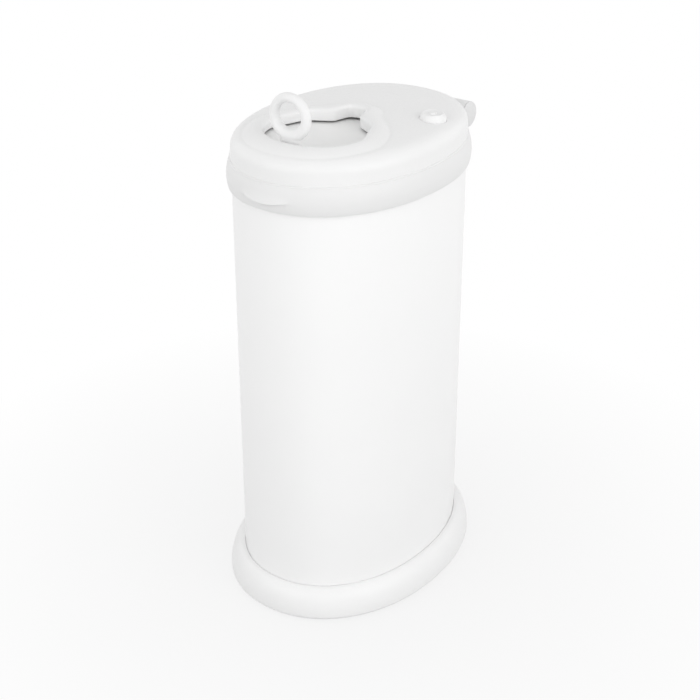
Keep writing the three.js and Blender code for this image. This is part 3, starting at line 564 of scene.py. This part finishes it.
def collar():
    """The collar's band with its two knuckles and their webs, cut clear of the lid's knuckle."""
    web_inset = 0.3
    wall = HALF_DEPTH * (1 - (KNUCKLE_END / HALF_WIDTH) ** POWER) ** (1 / POWER)
    knuckle_low = HINGE_Z - KNUCKLE
    knuckle_high = HINGE_Z + KNUCKLE
    knuckles = []
    for side in (-1, 1):
        near, far = sorted((side * (LID_KNUCKLE_HALF + FIT), side * KNUCKLE_END))
        knuckles.append(rod(KNUCKLE, near, far, KNUCKLE_EDGE))
        web_start = (near + web_inset, wall + 2, knuckle_low)
        knuckles.append(block(web_start, (far - web_inset, HINGE_Y, COLLAR_TOP)))
    middle = LID_KNUCKLE_HALF + FIT
    removed = [
        loft([oval(-4, LEDGE + 0.1), oval(-4, knuckle_high + 1)]),
        loft([oval(FIT, knuckle_low - OVERRUN), oval(FIT, LEDGE - LEDGE_THICKNESS)]),
        screw_holes(COLLAR_SCREWS, LEDGE - LEDGE_THICKNESS - OVERRUN, LEDGE + OVERRUN),
        rod(KNUCKLE + RUN, -middle, middle),
        rod(PIN_HOLE, -HINGE_HALF - OVERRUN, HINGE_HALF + OVERRUN),
    ]
    mesh = carved("collar_moulding", loft(collar_rings(), endless=True), added=knuckles, removed=removed)
    piece("collar_moulding", mesh, "bin", ["collar"], COLLAR_PLASTIC, sharp=42)


def bag_ring():
    """A plate with a throat that hangs from its inner edge, a rib under it and a notch for a finger."""
    under = 543.0
    top = 545.0
    throat = -31.0
    throat_low = 532.0
    notch = 11.0
    section = [
        (-5, under), (-5, top), (-25, top, 0.2), (throat, 539, 4), (throat, throat_low, 0.8),
        (-29, throat_low, 0.8), (-29, 540, 3), (-25.5, under, 2), (-14.5, under), (-14.5, 537.3),
        (-12.5, 537.3), (-12.5, under),
    ]
    reach = LID_KNUCKLE_HALF + RUN
    removed = [
        rod(KNUCKLE + RUN, -reach, reach),
        post(0, -HALF_DEPTH - throat, notch, throat_low - OVERRUN, top + 3, 64),
    ]
    mesh = carved("bag_ring_moulding", band(section, 0.5), removed=removed)
    piece("bag_ring_moulding", mesh, "bin", ["bag_ring"], SATIN_PLASTIC)


def hinge_caps():
    profile = [
        (3.6, 54.6), (4, 55), (4, 57.5), (15.2, 57.5), (KNUCKLE, 57.8), (KNUCKLE, 58.6), (15.2, 59.2),
        (14.4, HINGE_HALF), (2, HINGE_HALF),
    ]
    for side, word in ((-1, "left"), (1, "right")):
        mesh = mesh_of(f"cap_{word}", hinge_turned([(radius, side * along) for radius, along in profile]))
        piece(f"cap_{word}", mesh, "bin", [f"hinge_cap_{word}"], CAP_PLASTIC)


def oval_share(x, y, inset):
    """How far out a place is, from 0 in the middle to 1 on the oval drawn inwards by an inset."""
    across = abs(x / (HALF_WIDTH - inset)) ** POWER
    along = abs(y / (HALF_DEPTH - inset)) ** POWER
    return (across + along) ** (1 / POWER)


def shoulder_height(share):
    """The shoulder's height, from the crown's edge at 0 to the lid's side at 1."""
    softness = 0.1
    ease = softness * (LID_PROUD + CROWN_INSET) * share * (1 - share) ** 2
    return SHOULDER_TOP - (SHOULDER_TOP - SHOULDER_BOTTOM) * (1 - math.sqrt(1 - share ** 2)) - ease


def lid_top(x, y):
    """The height of the lid's crown or shoulder at a place, without the recess."""
    share = oval_share(x, y, CROWN_INSET)
    if share <= 1:
        return SHOULDER_TOP + CROWN * (1 - share ** 2)
    side = oval_share(x, y, -LID_PROUD)
    return shoulder_height(min((share - 1) / (share / side - 1), 1))


def closed_curve(points, count):
    """A smooth closed curve in plan through the points, of the CAD's own kind."""
    number = len(points)
    curve = []
    for step in range(count):
        along = step * number / count
        index = int(along)
        share = along - index
        before, here, after, beyond = (points[(index + shift) % number] for shift in (-1, 0, 1, 2))
        first = (here - before).length ** 0.5
        second = (after - here).length ** 0.5
        third = (beyond - after).length ** 0.5
        middle_slope = (after - here) / second
        leave = ((here - before) / first - (after - before) / (first + second) + middle_slope) * second
        arrive = (middle_slope - (beyond - here) / (second + third) + (beyond - after) / third) * second
        cubic = 2 * here - 2 * after + leave + arrive
        square = -3 * here + 3 * after - 2 * leave - arrive
        curve.append(cubic * share ** 3 + square * share ** 2 + leave * share + here)
    return curve


def mirrored(half, count):
    """A closed curve through half an outline from front middle to back middle, and its mirror image."""
    right = [Vector(point) for point in half]
    left = [Vector((-point.x, point.y)) for point in reversed(right[1:-1])]
    return closed_curve(right + left, count)


def moved_out(plan, outward):
    """A plan moved outwards along its own normals."""
    moved = []
    for index, point in enumerate(plan):
        run = (plan[(index + 1) % len(plan)] - plan[index - 1]).normalized()
        moved.append(point + Vector((run.y, -run.x)) * outward)
    return moved


# The throat is the wall inside the recess's lip, and the rim is where the lip meets the lid's top.
THROAT = mirrored([
    (0, -119), (28.8, -112.9), (49.8, -97.6), (60, -68), (52.8, -45.6), (44.7, -27.3), (37.5, -21.5),
    (27.2, -15.7), (17.7, -9.1), (15, 0.1), (10.8, 11.7), (0, 15),
], 264)
RIM = mirrored([
    (0, -146), (35.5, -139), (65.5, -115.5), (84.5, -72), (78, -41.5), (65, -20), (54, -8.5), (42, 2.8),
    (33.5, 12.5), (26.5, 23.5), (15.5, 31.5), (0, 34.5),
], 264)


def recess_plan(share, outward=0.0):
    """An outline between the rim, at 0, and the throat, at 1."""
    plan = [rim.lerp(throat, share) for rim, throat in zip(RIM, THROAT)]
    return moved_out(plan, outward)


def groove(distance):
    """How deep the soft line is that runs round the recess's rim, at a distance from it."""
    depth = 0.4
    width = 2.4
    return depth * math.exp(-(distance / width) ** 2)


def lip_rise(share):
    """How far the lip stands above the lid's top, from its rim at 0 over its crest to the throat at 1."""
    if share < THROAT_CREST_SHARE:
        return THROAT_LIP * math.sin(math.pi / 2 * share / THROAT_CREST_SHARE) ** 1.35
    across = (share - THROAT_CREST_SHARE) / (1 - THROAT_CREST_SHARE)
    return THROAT_LIP - THROAT_ROUND * (1 - math.sqrt(max(0.0, 1 - across ** 2)))


def lip_ring(share):
    ring = []
    for (x, y), rim in zip(recess_plan(share), RIM):
        sunk = groove((Vector((x, y)) - rim).length)
        ring.append(Vector((x, y, lid_top(x, y) + lip_rise(share) - sunk)))
    return ring


def under_lip_ring(share):
    return [Vector((x, y, lid_top(x, y) - LID_WALL)) for x, y in recess_plan(share, THROAT_WALL * share)]


def direction(point):
    """The direction of a place in plan from the middle of the recess, from 0 at the front anticlockwise."""
    middle = Vector((0, -50))
    ray = point - middle
    return math.atan2(ray.x, -ray.y) % (2 * math.pi)


def lid_turns():
    """Turns on the oval that lie in the same directions as the rim's points."""
    samples = 2400
    turns = [-math.pi / 2 + 2 * math.pi * step / samples for step in range(samples + 1)]
    angles = [direction(superellipse_at(CROWN_HALF_WIDTH, CROWN_HALF_DEPTH, POWER, turn)) for turn in turns]
    angles[0] = 0.0
    angles[-1] = 2 * math.pi
    found = []
    for point in RIM:
        angle = direction(point)
        index = min(max(bisect_right(angles, angle) - 1, 0), samples - 1)
        span = angles[index + 1] - angles[index]
        found.append(turns[index] + (turns[index + 1] - turns[index]) * (angle - angles[index]) / span)
    return found


def shoulder_ring(turns, share, inset):
    """A ring of the lid between the crown's edge, at 0, and its side, at 1, drawn in by an inset."""
    height = Vector((0, 0, shoulder_height(share) - inset))
    ring = []
    for turn in turns:
        edge = superellipse_at(CROWN_HALF_WIDTH - inset, CROWN_HALF_DEPTH - inset, POWER, turn)
        side = oval_at(LID_PROUD - inset, turn)
        ring.append(edge.lerp(side, share).to_3d() + height)
    return ring


def top_ring(brow, share):
    """A ring of the lid's top between the recess's rim, at 0, and a ring of the shoulder, at 1."""
    ring = []
    for point, outer in zip(RIM, brow):
        x, y = point.lerp(outer.xy, share)
        depth = groove((Vector((x, y)) - point).length)
        ring.append(Vector((x, y, lid_top(x, y) - depth)))
    return ring


def under_ring(brow, share):
    """The same on the lid's underside, where the heights run over into those of the shoulder's ring."""
    ring = []
    for point, outer in zip(RIM, brow):
        x, y = point.lerp(outer.xy, share)
        height = lid_top(x, y) - LID_WALL
        ring.append(Vector((x, y, height + (outer.z - height) * share)))
    return ring


def lid_shell_form():
    """The lid's skin: up its skirt, over the shoulder and the lip, down the throat, and back underneath."""
    turns = lid_turns()
    skirt = [
        (-2, 556), (-2, 549.8), (-1.85, 549.35), (-1.4, LID_BOTTOM), (0.7, LID_BOTTOM), (1.05, 549.3),
        (1.15, 549.6), (1.15, 550.6), (0.85, 555), (0.5, 560),
    ]
    throat_edge = [(0, 1.2), (0.2, 0.5), (0.7, 0.1), (1.3, 0), (1.8, 0.1), (2.25, 0.5), (THROAT_WALL, 1.2)]
    brow_share = 0.6
    brow_turn = math.acos(brow_share)
    brow = shoulder_ring(turns, brow_share, 0)
    under_brow = shoulder_ring(turns, brow_share, LID_WALL)
    crest = THROAT_CREST_SHARE
    rings = [oval(offset, height, turns) for offset, height in skirt]
    rings += [shoulder_ring(turns, math.cos(brow_turn * step / 8), 0) for step in range(8)]
    rings += [top_ring(brow, (1 - step / 20) ** 1.5) for step in range(21)]
    rings += [lip_ring(crest * step / 10) for step in range(1, 10)]
    rings += [lip_ring(crest + (1 - crest) * math.sin(math.pi / 2 * step / 9)) for step in range(10)]
    rings.append(level(recess_plan(1), THROAT_BOTTOM + 3))
    rings += [level(recess_plan(1, outward), THROAT_BOTTOM + rise) for outward, rise in throat_edge]
    rings += [under_lip_ring(share) for share in (1, 0.85, 0.62, 0.38, 0.15)]
    rings += [under_ring(under_brow, step / 8) for step in range(8)]
    rings += [shoulder_ring(turns, math.cos(brow_turn * (1 - step / 6)), LID_WALL) for step in range(7)]
    return loft(rings, endless=True)


def lid_shell():
    """The lid's cover with its knuckle, flat towards the lid, its screw bosses and the button's well."""
    flat = HINGE_Y - 7.6
    well = 15.75
    boss_depth = 1.6
    hole_top = 561.3
    points, faces = rod(KNUCKLE, -LID_KNUCKLE_HALF, LID_KNUCKLE_HALF, KNUCKLE_EDGE)
    knuckle = [Vector((point.x, max(point.y, flat), point.z)) for point in points], faces
    bosses = [post(x, y, BOSS, BASE_TOP + FIT, lid_top(x, y) - boss_depth, 32) for x, y in LID_SCREWS]
    removed = [
        screw_holes(LID_SCREWS, BASE_TOP - OVERRUN, hole_top),
        post(BUTTON_X, BUTTON_Y, well, BUTTON_CROWN - 8, BUTTON_CROWN + 3, 96),
        rod(PIN_HOLE, -HINGE_HALF, HINGE_HALF),
        knuckle_room(),
    ]
    mesh = carved("lid_shell", lid_shell_form(), added=[knuckle, merged(*bosses)], removed=removed)
    piece("lid_shell", mesh, "lid", ["lid_cover"], GLOSS_PLASTIC, sharp=32)


def drop_ring(outward, height):
    half_width = DROP_HALF_WIDTH + outward
    half_depth = DROP_HALF_DEPTH + outward
    return superellipse(half_width, half_depth, DROP_POWER, height, 120, DROP_MIDDLE)


def drop_wall(section, radius):
    """A ring round the drop opening with the given section."""
    rings = [drop_ring(outward, height) for outward, height in rounded(section, radius)]
    return loft(rings, endless=True)


def lid_plate():
    """The lid's base with the wall of its drop opening, the door's rails and the spring's post."""
    inset = 2.1
    edge = 0.4
    wall = 2.6
    wall_top = 562.4
    rail_front = -66.0
    rail_back = 97.9
    rail_outside = 73.6
    flat = HINGE_Y - 7.9
    rim = [
        (-inset - edge, BASE_BOTTOM), (-inset, BASE_BOTTOM + edge), (-inset, BASE_TOP - edge),
        (-inset - edge, BASE_TOP),
    ]
    plate = loft([oval(offset, height) for offset, height in rim])
    opening = loft([drop_ring(1, BASE_BOTTOM - OVERRUN), drop_ring(1, BASE_TOP + OVERRUN)])
    opened = form_of(carved("opened", plate, removed=[opening]))
    added = [drop_wall([(0, BASE_BOTTOM), (wall, BASE_BOTTOM), (wall, wall_top), (0, wall_top)], 0.6)]
    for side in (-1, 1):
        for rail_inside, rail_top in ((63.5, 564.5), (70.6, 569.2)):
            near, far = sorted((side * rail_inside, side * rail_outside))
            added.append(block((near, rail_front, BASE_BOTTOM + 0.2), (far, rail_back, rail_top)))
    spring_post = [(1.8, BASE_BOTTOM + 1), (1.8, 565.4), (1.2, 566)]
    added.append(lathe(spring_post, BUTTON_X, BUTTON_Y, 32))
    reach = LID_KNUCKLE_HALF + FIT
    removed = [
        screw_holes(LID_SCREWS, BASE_BOTTOM - OVERRUN, BASE_TOP + OVERRUN),
        block((-reach, flat, BASE_BOTTOM - OVERRUN), (reach, HINGE_Y + OVERRUN, BASE_TOP + OVERRUN)),
        knuckle_room(),
    ]
    mesh = carved("lid_plate", opened, added=added, removed=removed)
    piece("lid_plate", mesh, "lid", ["lid_base"], SATIN_PLASTIC)


def seals():
    """The soft ring under the lid, with a nose that points down, and the one under the door."""
    gasket = [
        (-6.6, LID_BOTTOM), (-6.6, 546.3, 0.8), (-8.1, 545.3, 1.2), (-9.6, 546.3, 0.8), (-9.6, LID_BOTTOM),
    ]
    mesh = carved("lid_gasket", band(gasket, 0.3), removed=[knuckle_room()])
    piece("lid_gasket", mesh, "lid", ["lid_seal"], RUBBER)
    low = 562.7
    high = 564.5
    wiper = drop_wall([(0.1, low), (2.5, low), (2.3, high), (0.3, high)], 0.3)
    piece("wiper_lip", mesh_of("wiper_lip", wiper), "lid", ["throat_wiper"], RUBBER)


def door():
    """The sliding door, with a shallow dish in it and a tail that follows the recess's narrow end."""
    outline = mirrored([
        (0, -124.9), (31.5, -122.9), (58.8, -108.2), (68.2, -95), (69.9, -85), (69.9, -58), (69.9, -31),
        (67, -20.5), (59.5, -12.7), (43.4, 3.2), (36.5, 10), (34, 17.8), (33, 26.8), (27.2, 29.9), (14, 29.9),
        (0, 29.9),
    ], 300)
    edge = [(-0.9, DOOR_BOTTOM), (-0.3, 564.95), (0, 565.5), (0, 569.1), (-0.3, 569.8), (-0.9, DOOR_TOP)]
    plate = loft([level(moved_out(outline, outward), height) for outward, height in edge])
    half_width = 54.0
    half_depth = 42.0
    middle = -59.0
    fall = 4.0
    shares = [
        (1.06, -0.06), (1, 0), (0.94, 0.07), (0.87, 0.17), (0.78, 0.33), (0.67, 0.52), (0.53, 0.72),
        (0.37, 0.87), (0.2, 0.96),
    ]
    dish = []
    for spread, share in shares:
        height = DOOR_TOP - fall * share
        dish.append(superellipse(half_width * spread, half_depth * spread, 2.2, height, 120, middle))
    head_hole = 3.7
    removed = [loft(dish)]
    for x, y in HANDLE_SCREWS:
        removed.append(post(x, y, SCREW_HOLE, 567, DOOR_TOP + OVERRUN, 24))
        removed.append(post(x, y, head_hole, 562, HANDLE_SEAT, 32))
    mesh = carved("door", plate, removed=removed)
    piece("door", mesh, "slider", ["slide_door"], DOOR_PLASTIC)


def ring():
    """The pull ring, melted into its foot by a fine remesh and a few smoothing passes."""
    radius = 21.4
    height = 608.0
    tube = 5.5
    deep_tube = 6.1
    thickening = 3.2
    sections = []
    for turn in even_turns(96):
        out = Vector((math.cos(turn), 0, math.sin(turn)))
        middle = Vector((0, HANDLE_Y, height)) + out * radius
        fuller = thickening * max(0.0, -math.sin(turn)) ** 1.5
        section = []
        for angle in even_turns(28):
            across = tube * math.cos(angle) - fuller * (1 - math.cos(angle)) / 2
            section.append(middle + out * across + Vector((0, deep_tube * math.sin(angle), 0)))
        sections.append(section)
    columns = [
        (12.2, 4.8, 570.3), (12.4, 4.8, 576), (13.2, 4.8, 580), (13.6, 4.9, 583), (14.1, 5.1, 585),
        (15.4, 5.2, 587.5), (13.5, 4.4, 590),
    ]
    base = loft([superellipse(wide, deep, 2.4, place, 64, HANDLE_Y) for wide, deep, place in columns])
    obj = temporary("ring_melt", loft(sections, endless=True))
    tool = add_boolean(obj, "UNION", base)
    remesh = obj.modifiers.new("remesh", "REMESH")
    remesh.mode = "VOXEL"
    remesh.voxel_size = 0.6 * MM
    smooth = obj.modifiers.new("smooth", "SMOOTH")
    smooth.iterations = 22
    smooth.factor = 0.5
    mesh = evaluated(obj, "ring")
    bpy.data.objects.remove(tool)
    piece("ring", mesh, "slider", ["ring_handle"], GLOSS_PLASTIC, sharp=75)


def button():
    """A button with a rounded rim, a sunk top and a small raised middle."""
    radius = 15.5
    flange = 577.46
    top = BUTTON_CROWN + 7.3
    profile = [
        (5, 576.4), (5, flange), (15.1, flange), (radius, 577.9), (radius, 580.4), (15.4, 581.2),
        (12.9, top - 1.2), (12.6, top - 0.5), (12.2, top - 0.1), (11.8, top), (11.4, top - 0.1),
        (10.9, top - 0.5), (10.2, top - 0.85), (8.5, top - 1.1), (5, top - 1.15), (4.6, top - 1.1),
        (4.35, top - 0.9), (4.25, top - 0.1), (4.0, top + 0.15), (3.4, top + 0.25), (0.8, top + 0.3),
    ]
    mesh = mesh_of("button", lathe(profile, BUTTON_X, BUTTON_Y, 96))
    piece("button", mesh, "lock", ["lock_button"], GLOSS_PLASTIC)


def spring():
    """A wire coil with closed ends, between the heights of the CAD's spring."""
    radius = 3.2
    wire = 0.45
    coils = 8
    around = 28
    low, high = (corner[2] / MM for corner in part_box("lock_spring"))
    closed = 2.1 * wire
    open_length = high - low - 2 * wire - 2 * closed
    sections = []
    for step in range(coils * around + 1):
        coil = step / around
        opened = min(max((coil - 1) / (coils - 2), 0), 1)
        height = low + wire + closed * (min(coil, 1) + max(coil - coils + 1, 0)) + open_length * opened
        turn = 2 * math.pi * coil
        section = []
        for angle in even_turns(10):
            reach = radius + wire * math.cos(angle)
            x = BUTTON_X + reach * math.cos(turn)
            y = BUTTON_Y + reach * math.sin(turn)
            section.append(Vector((x, y, height + wire * math.sin(angle))))
        sections.append(section)
    obj = piece("spring", mesh_of("spring", loft(sections)), "lock", ["lock_spring"], STEEL)
    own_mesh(obj)


def add_camera():
    data = bpy.data.cameras.new("camera")
    data.lens = CAMERA_LENS
    data.shift_x, data.shift_y = CAMERA_SHIFT
    data.clip_start = 0.05
    camera = bpy.data.objects.new("camera", data)
    bpy.context.scene.collection.objects.link(camera)
    back = Vector((
        math.sin(CAMERA_AZIMUTH) * math.cos(CAMERA_PITCH),
        -math.cos(CAMERA_AZIMUTH) * math.cos(CAMERA_PITCH),
        math.sin(CAMERA_PITCH),
    ))
    camera.location = (
        CAMERA_DISTANCE * math.sin(CAMERA_AZIMUTH),
        -CAMERA_DISTANCE * math.cos(CAMERA_AZIMUTH),
        CAMERA_HEIGHT,
    )
    camera.rotation_mode = "QUATERNION"
    camera.rotation_quaternion = (-back).to_track_quat("-Z", "Y")
    bpy.context.scene.camera = camera


def add_lamp(name, azimuth, rise, size, power):
    """A soft square lamp aimed at the pail from an azimuth, where 0 is in front and 90 is on the right."""
    distance = 2.5
    aim_height = 0.35
    turn = math.radians(azimuth)
    aim = Vector((0, 0, aim_height))
    place = Vector((distance * math.sin(turn), -distance * math.cos(turn), aim_height + rise))
    data = bpy.data.lights.new(name, "AREA")
    data.shape = "RECTANGLE"
    data.size = size
    data.size_y = size
    data.energy = power
    light = bpy.data.objects.new(name, data)
    bpy.context.scene.collection.objects.link(light)
    light.location = place
    light.rotation_mode = "QUATERNION"
    light.rotation_quaternion = (aim - place).to_track_quat("-Z", "Y")


def seen_directly(nodes, links):
    """1 for a ray from the camera, off gloss or through glass, and 0 for the light that falls on things."""
    path = nodes.new("ShaderNodeLightPath")
    total = path.outputs["Is Camera Ray"]
    for kind in ("Is Glossy Ray", "Is Transmission Ray"):
        either = nodes.new("ShaderNodeMath")
        either.operation = "MAXIMUM"
        links.new(total, either.inputs[0])
        links.new(path.outputs[kind], either.inputs[1])
        total = either.outputs[0]
    return total


def add_world():
    """White where it is seen, and a little darker as a light."""
    world = bpy.data.worlds.new("world")
    bpy.context.scene.world = world
    world.use_nodes = True
    nodes = world.node_tree.nodes
    links = world.node_tree.links
    ambient = nodes["Background"]
    ambient.inputs["Color"].default_value = (1, 1, 1, 1)
    ambient.inputs["Strength"].default_value = 0.70
    seen = nodes.new("ShaderNodeBackground")
    seen.inputs["Color"].default_value = (1, 1, 1, 1)
    seen.inputs["Strength"].default_value = 1.0
    mix = nodes.new("ShaderNodeMixShader")
    links.new(seen_directly(nodes, links), mix.inputs["Fac"])
    links.new(ambient.outputs[0], mix.inputs[1])
    links.new(seen.outputs[0], mix.inputs[2])
    links.new(mix.outputs[0], nodes["World Output"].inputs["Surface"])


def floor_material():
    """Pale and matt as a light, and white where it is seen, with the shadow kept near the foot."""
    material = surface("floor", (0.60, 0.60, 0.60), (0.58, 0.58, 0.58), 0.7, 0.03, 60, 0.02)
    nodes = material.node_tree.nodes
    links = material.node_tree.links
    white = nodes.new("ShaderNodeEmission")
    white.inputs["Color"].default_value = (1, 1, 1, 1)
    white.inputs["Strength"].default_value = 1.0
    place = nodes.new("ShaderNodeTexCoord")
    reach = nodes.new("ShaderNodeVectorMath")
    reach.operation = "LENGTH"
    links.new(place.outputs["Object"], reach.inputs[0])
    away = nodes.new("ShaderNodeMapRange")
    away.inputs["From Min"].default_value = 0.13
    away.inputs["From Max"].default_value = 0.65
    away.inputs["To Min"].default_value = 0.80
    away.inputs["To Max"].default_value = 1.0
    links.new(reach.outputs["Value"], away.inputs["Value"])
    share = nodes.new("ShaderNodeMath")
    share.operation = "MULTIPLY"
    links.new(seen_directly(nodes, links), share.inputs[0])
    links.new(away.outputs["Result"], share.inputs[1])
    mix = nodes.new("ShaderNodeMixShader")
    links.new(share.outputs[0], mix.inputs["Fac"])
    links.new(nodes["Principled BSDF"].outputs[0], mix.inputs[1])
    links.new(white.outputs[0], mix.inputs[2])
    links.new(mix.outputs[0], nodes["Material Output"].inputs["Surface"])
    return material


def add_floor():
    reach = 6
    corners = [(-reach, -reach, 0), (reach, -reach, 0), (reach, reach, 0), (-reach, reach, 0)]
    mesh = bpy.data.meshes.new("floor")
    mesh.from_pydata(corners, [], [(0, 1, 2, 3)])
    mesh.materials.append(floor_material())
    floor = bpy.data.objects.new("floor", mesh)
    bpy.context.scene.collection.objects.link(floor)


def finish_carried_nodes():
    """Gives the CAD nodes that are shown as they are a material of this scene."""
    for name, material in (("hinge_pin", STEEL), ("lock_bar", SATIN_PLASTIC)):
        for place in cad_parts[name].material_slots:
            place.link = "OBJECT"
            place.material = material


add_camera()
add_lamp("right_lamp", 88, 0.95, 2.0, 22)
add_lamp("left_lamp", -14, 0.95, 2.0, 18)
add_lamp("front_lamp", 45, 0.9, 1.6, 7)
add_lamp("back_lamp", 272, 1.1, 2.0, 6)
add_lamp("rear_lamp", 155, 1.1, 2.0, 5)
add_world()
add_floor()

pail()
foot()
inner_floor()
pads()
collar()
bag_ring()
hinge_caps()
lid_shell()
lid_plate()
seals()
door()
ring()
button()
spring()
screws("base_bolt", "base_screw", screw_mesh("bolt_up", True), BASE_SCREWS, FOOT_SEAT - FIT, "bin")
screws("collar_bolt", "collar_screw", screw_mesh("bolt_down", False), COLLAR_SCREWS, LEDGE + FIT, "bin")
screws("lid_bolt", "lid_screw", screw_mesh("bolt_lid", True), LID_SCREWS, BASE_BOTTOM - FIT, "lid")
handle_bolt = screw_mesh("bolt_handle", True)
screws("handle_bolt", "handle_screw", handle_bolt, HANDLE_SCREWS, HANDLE_SEAT - FIT, "slider")
finish_carried_nodes()

bpy.context.scene.view_settings.view_transform = "Standard"
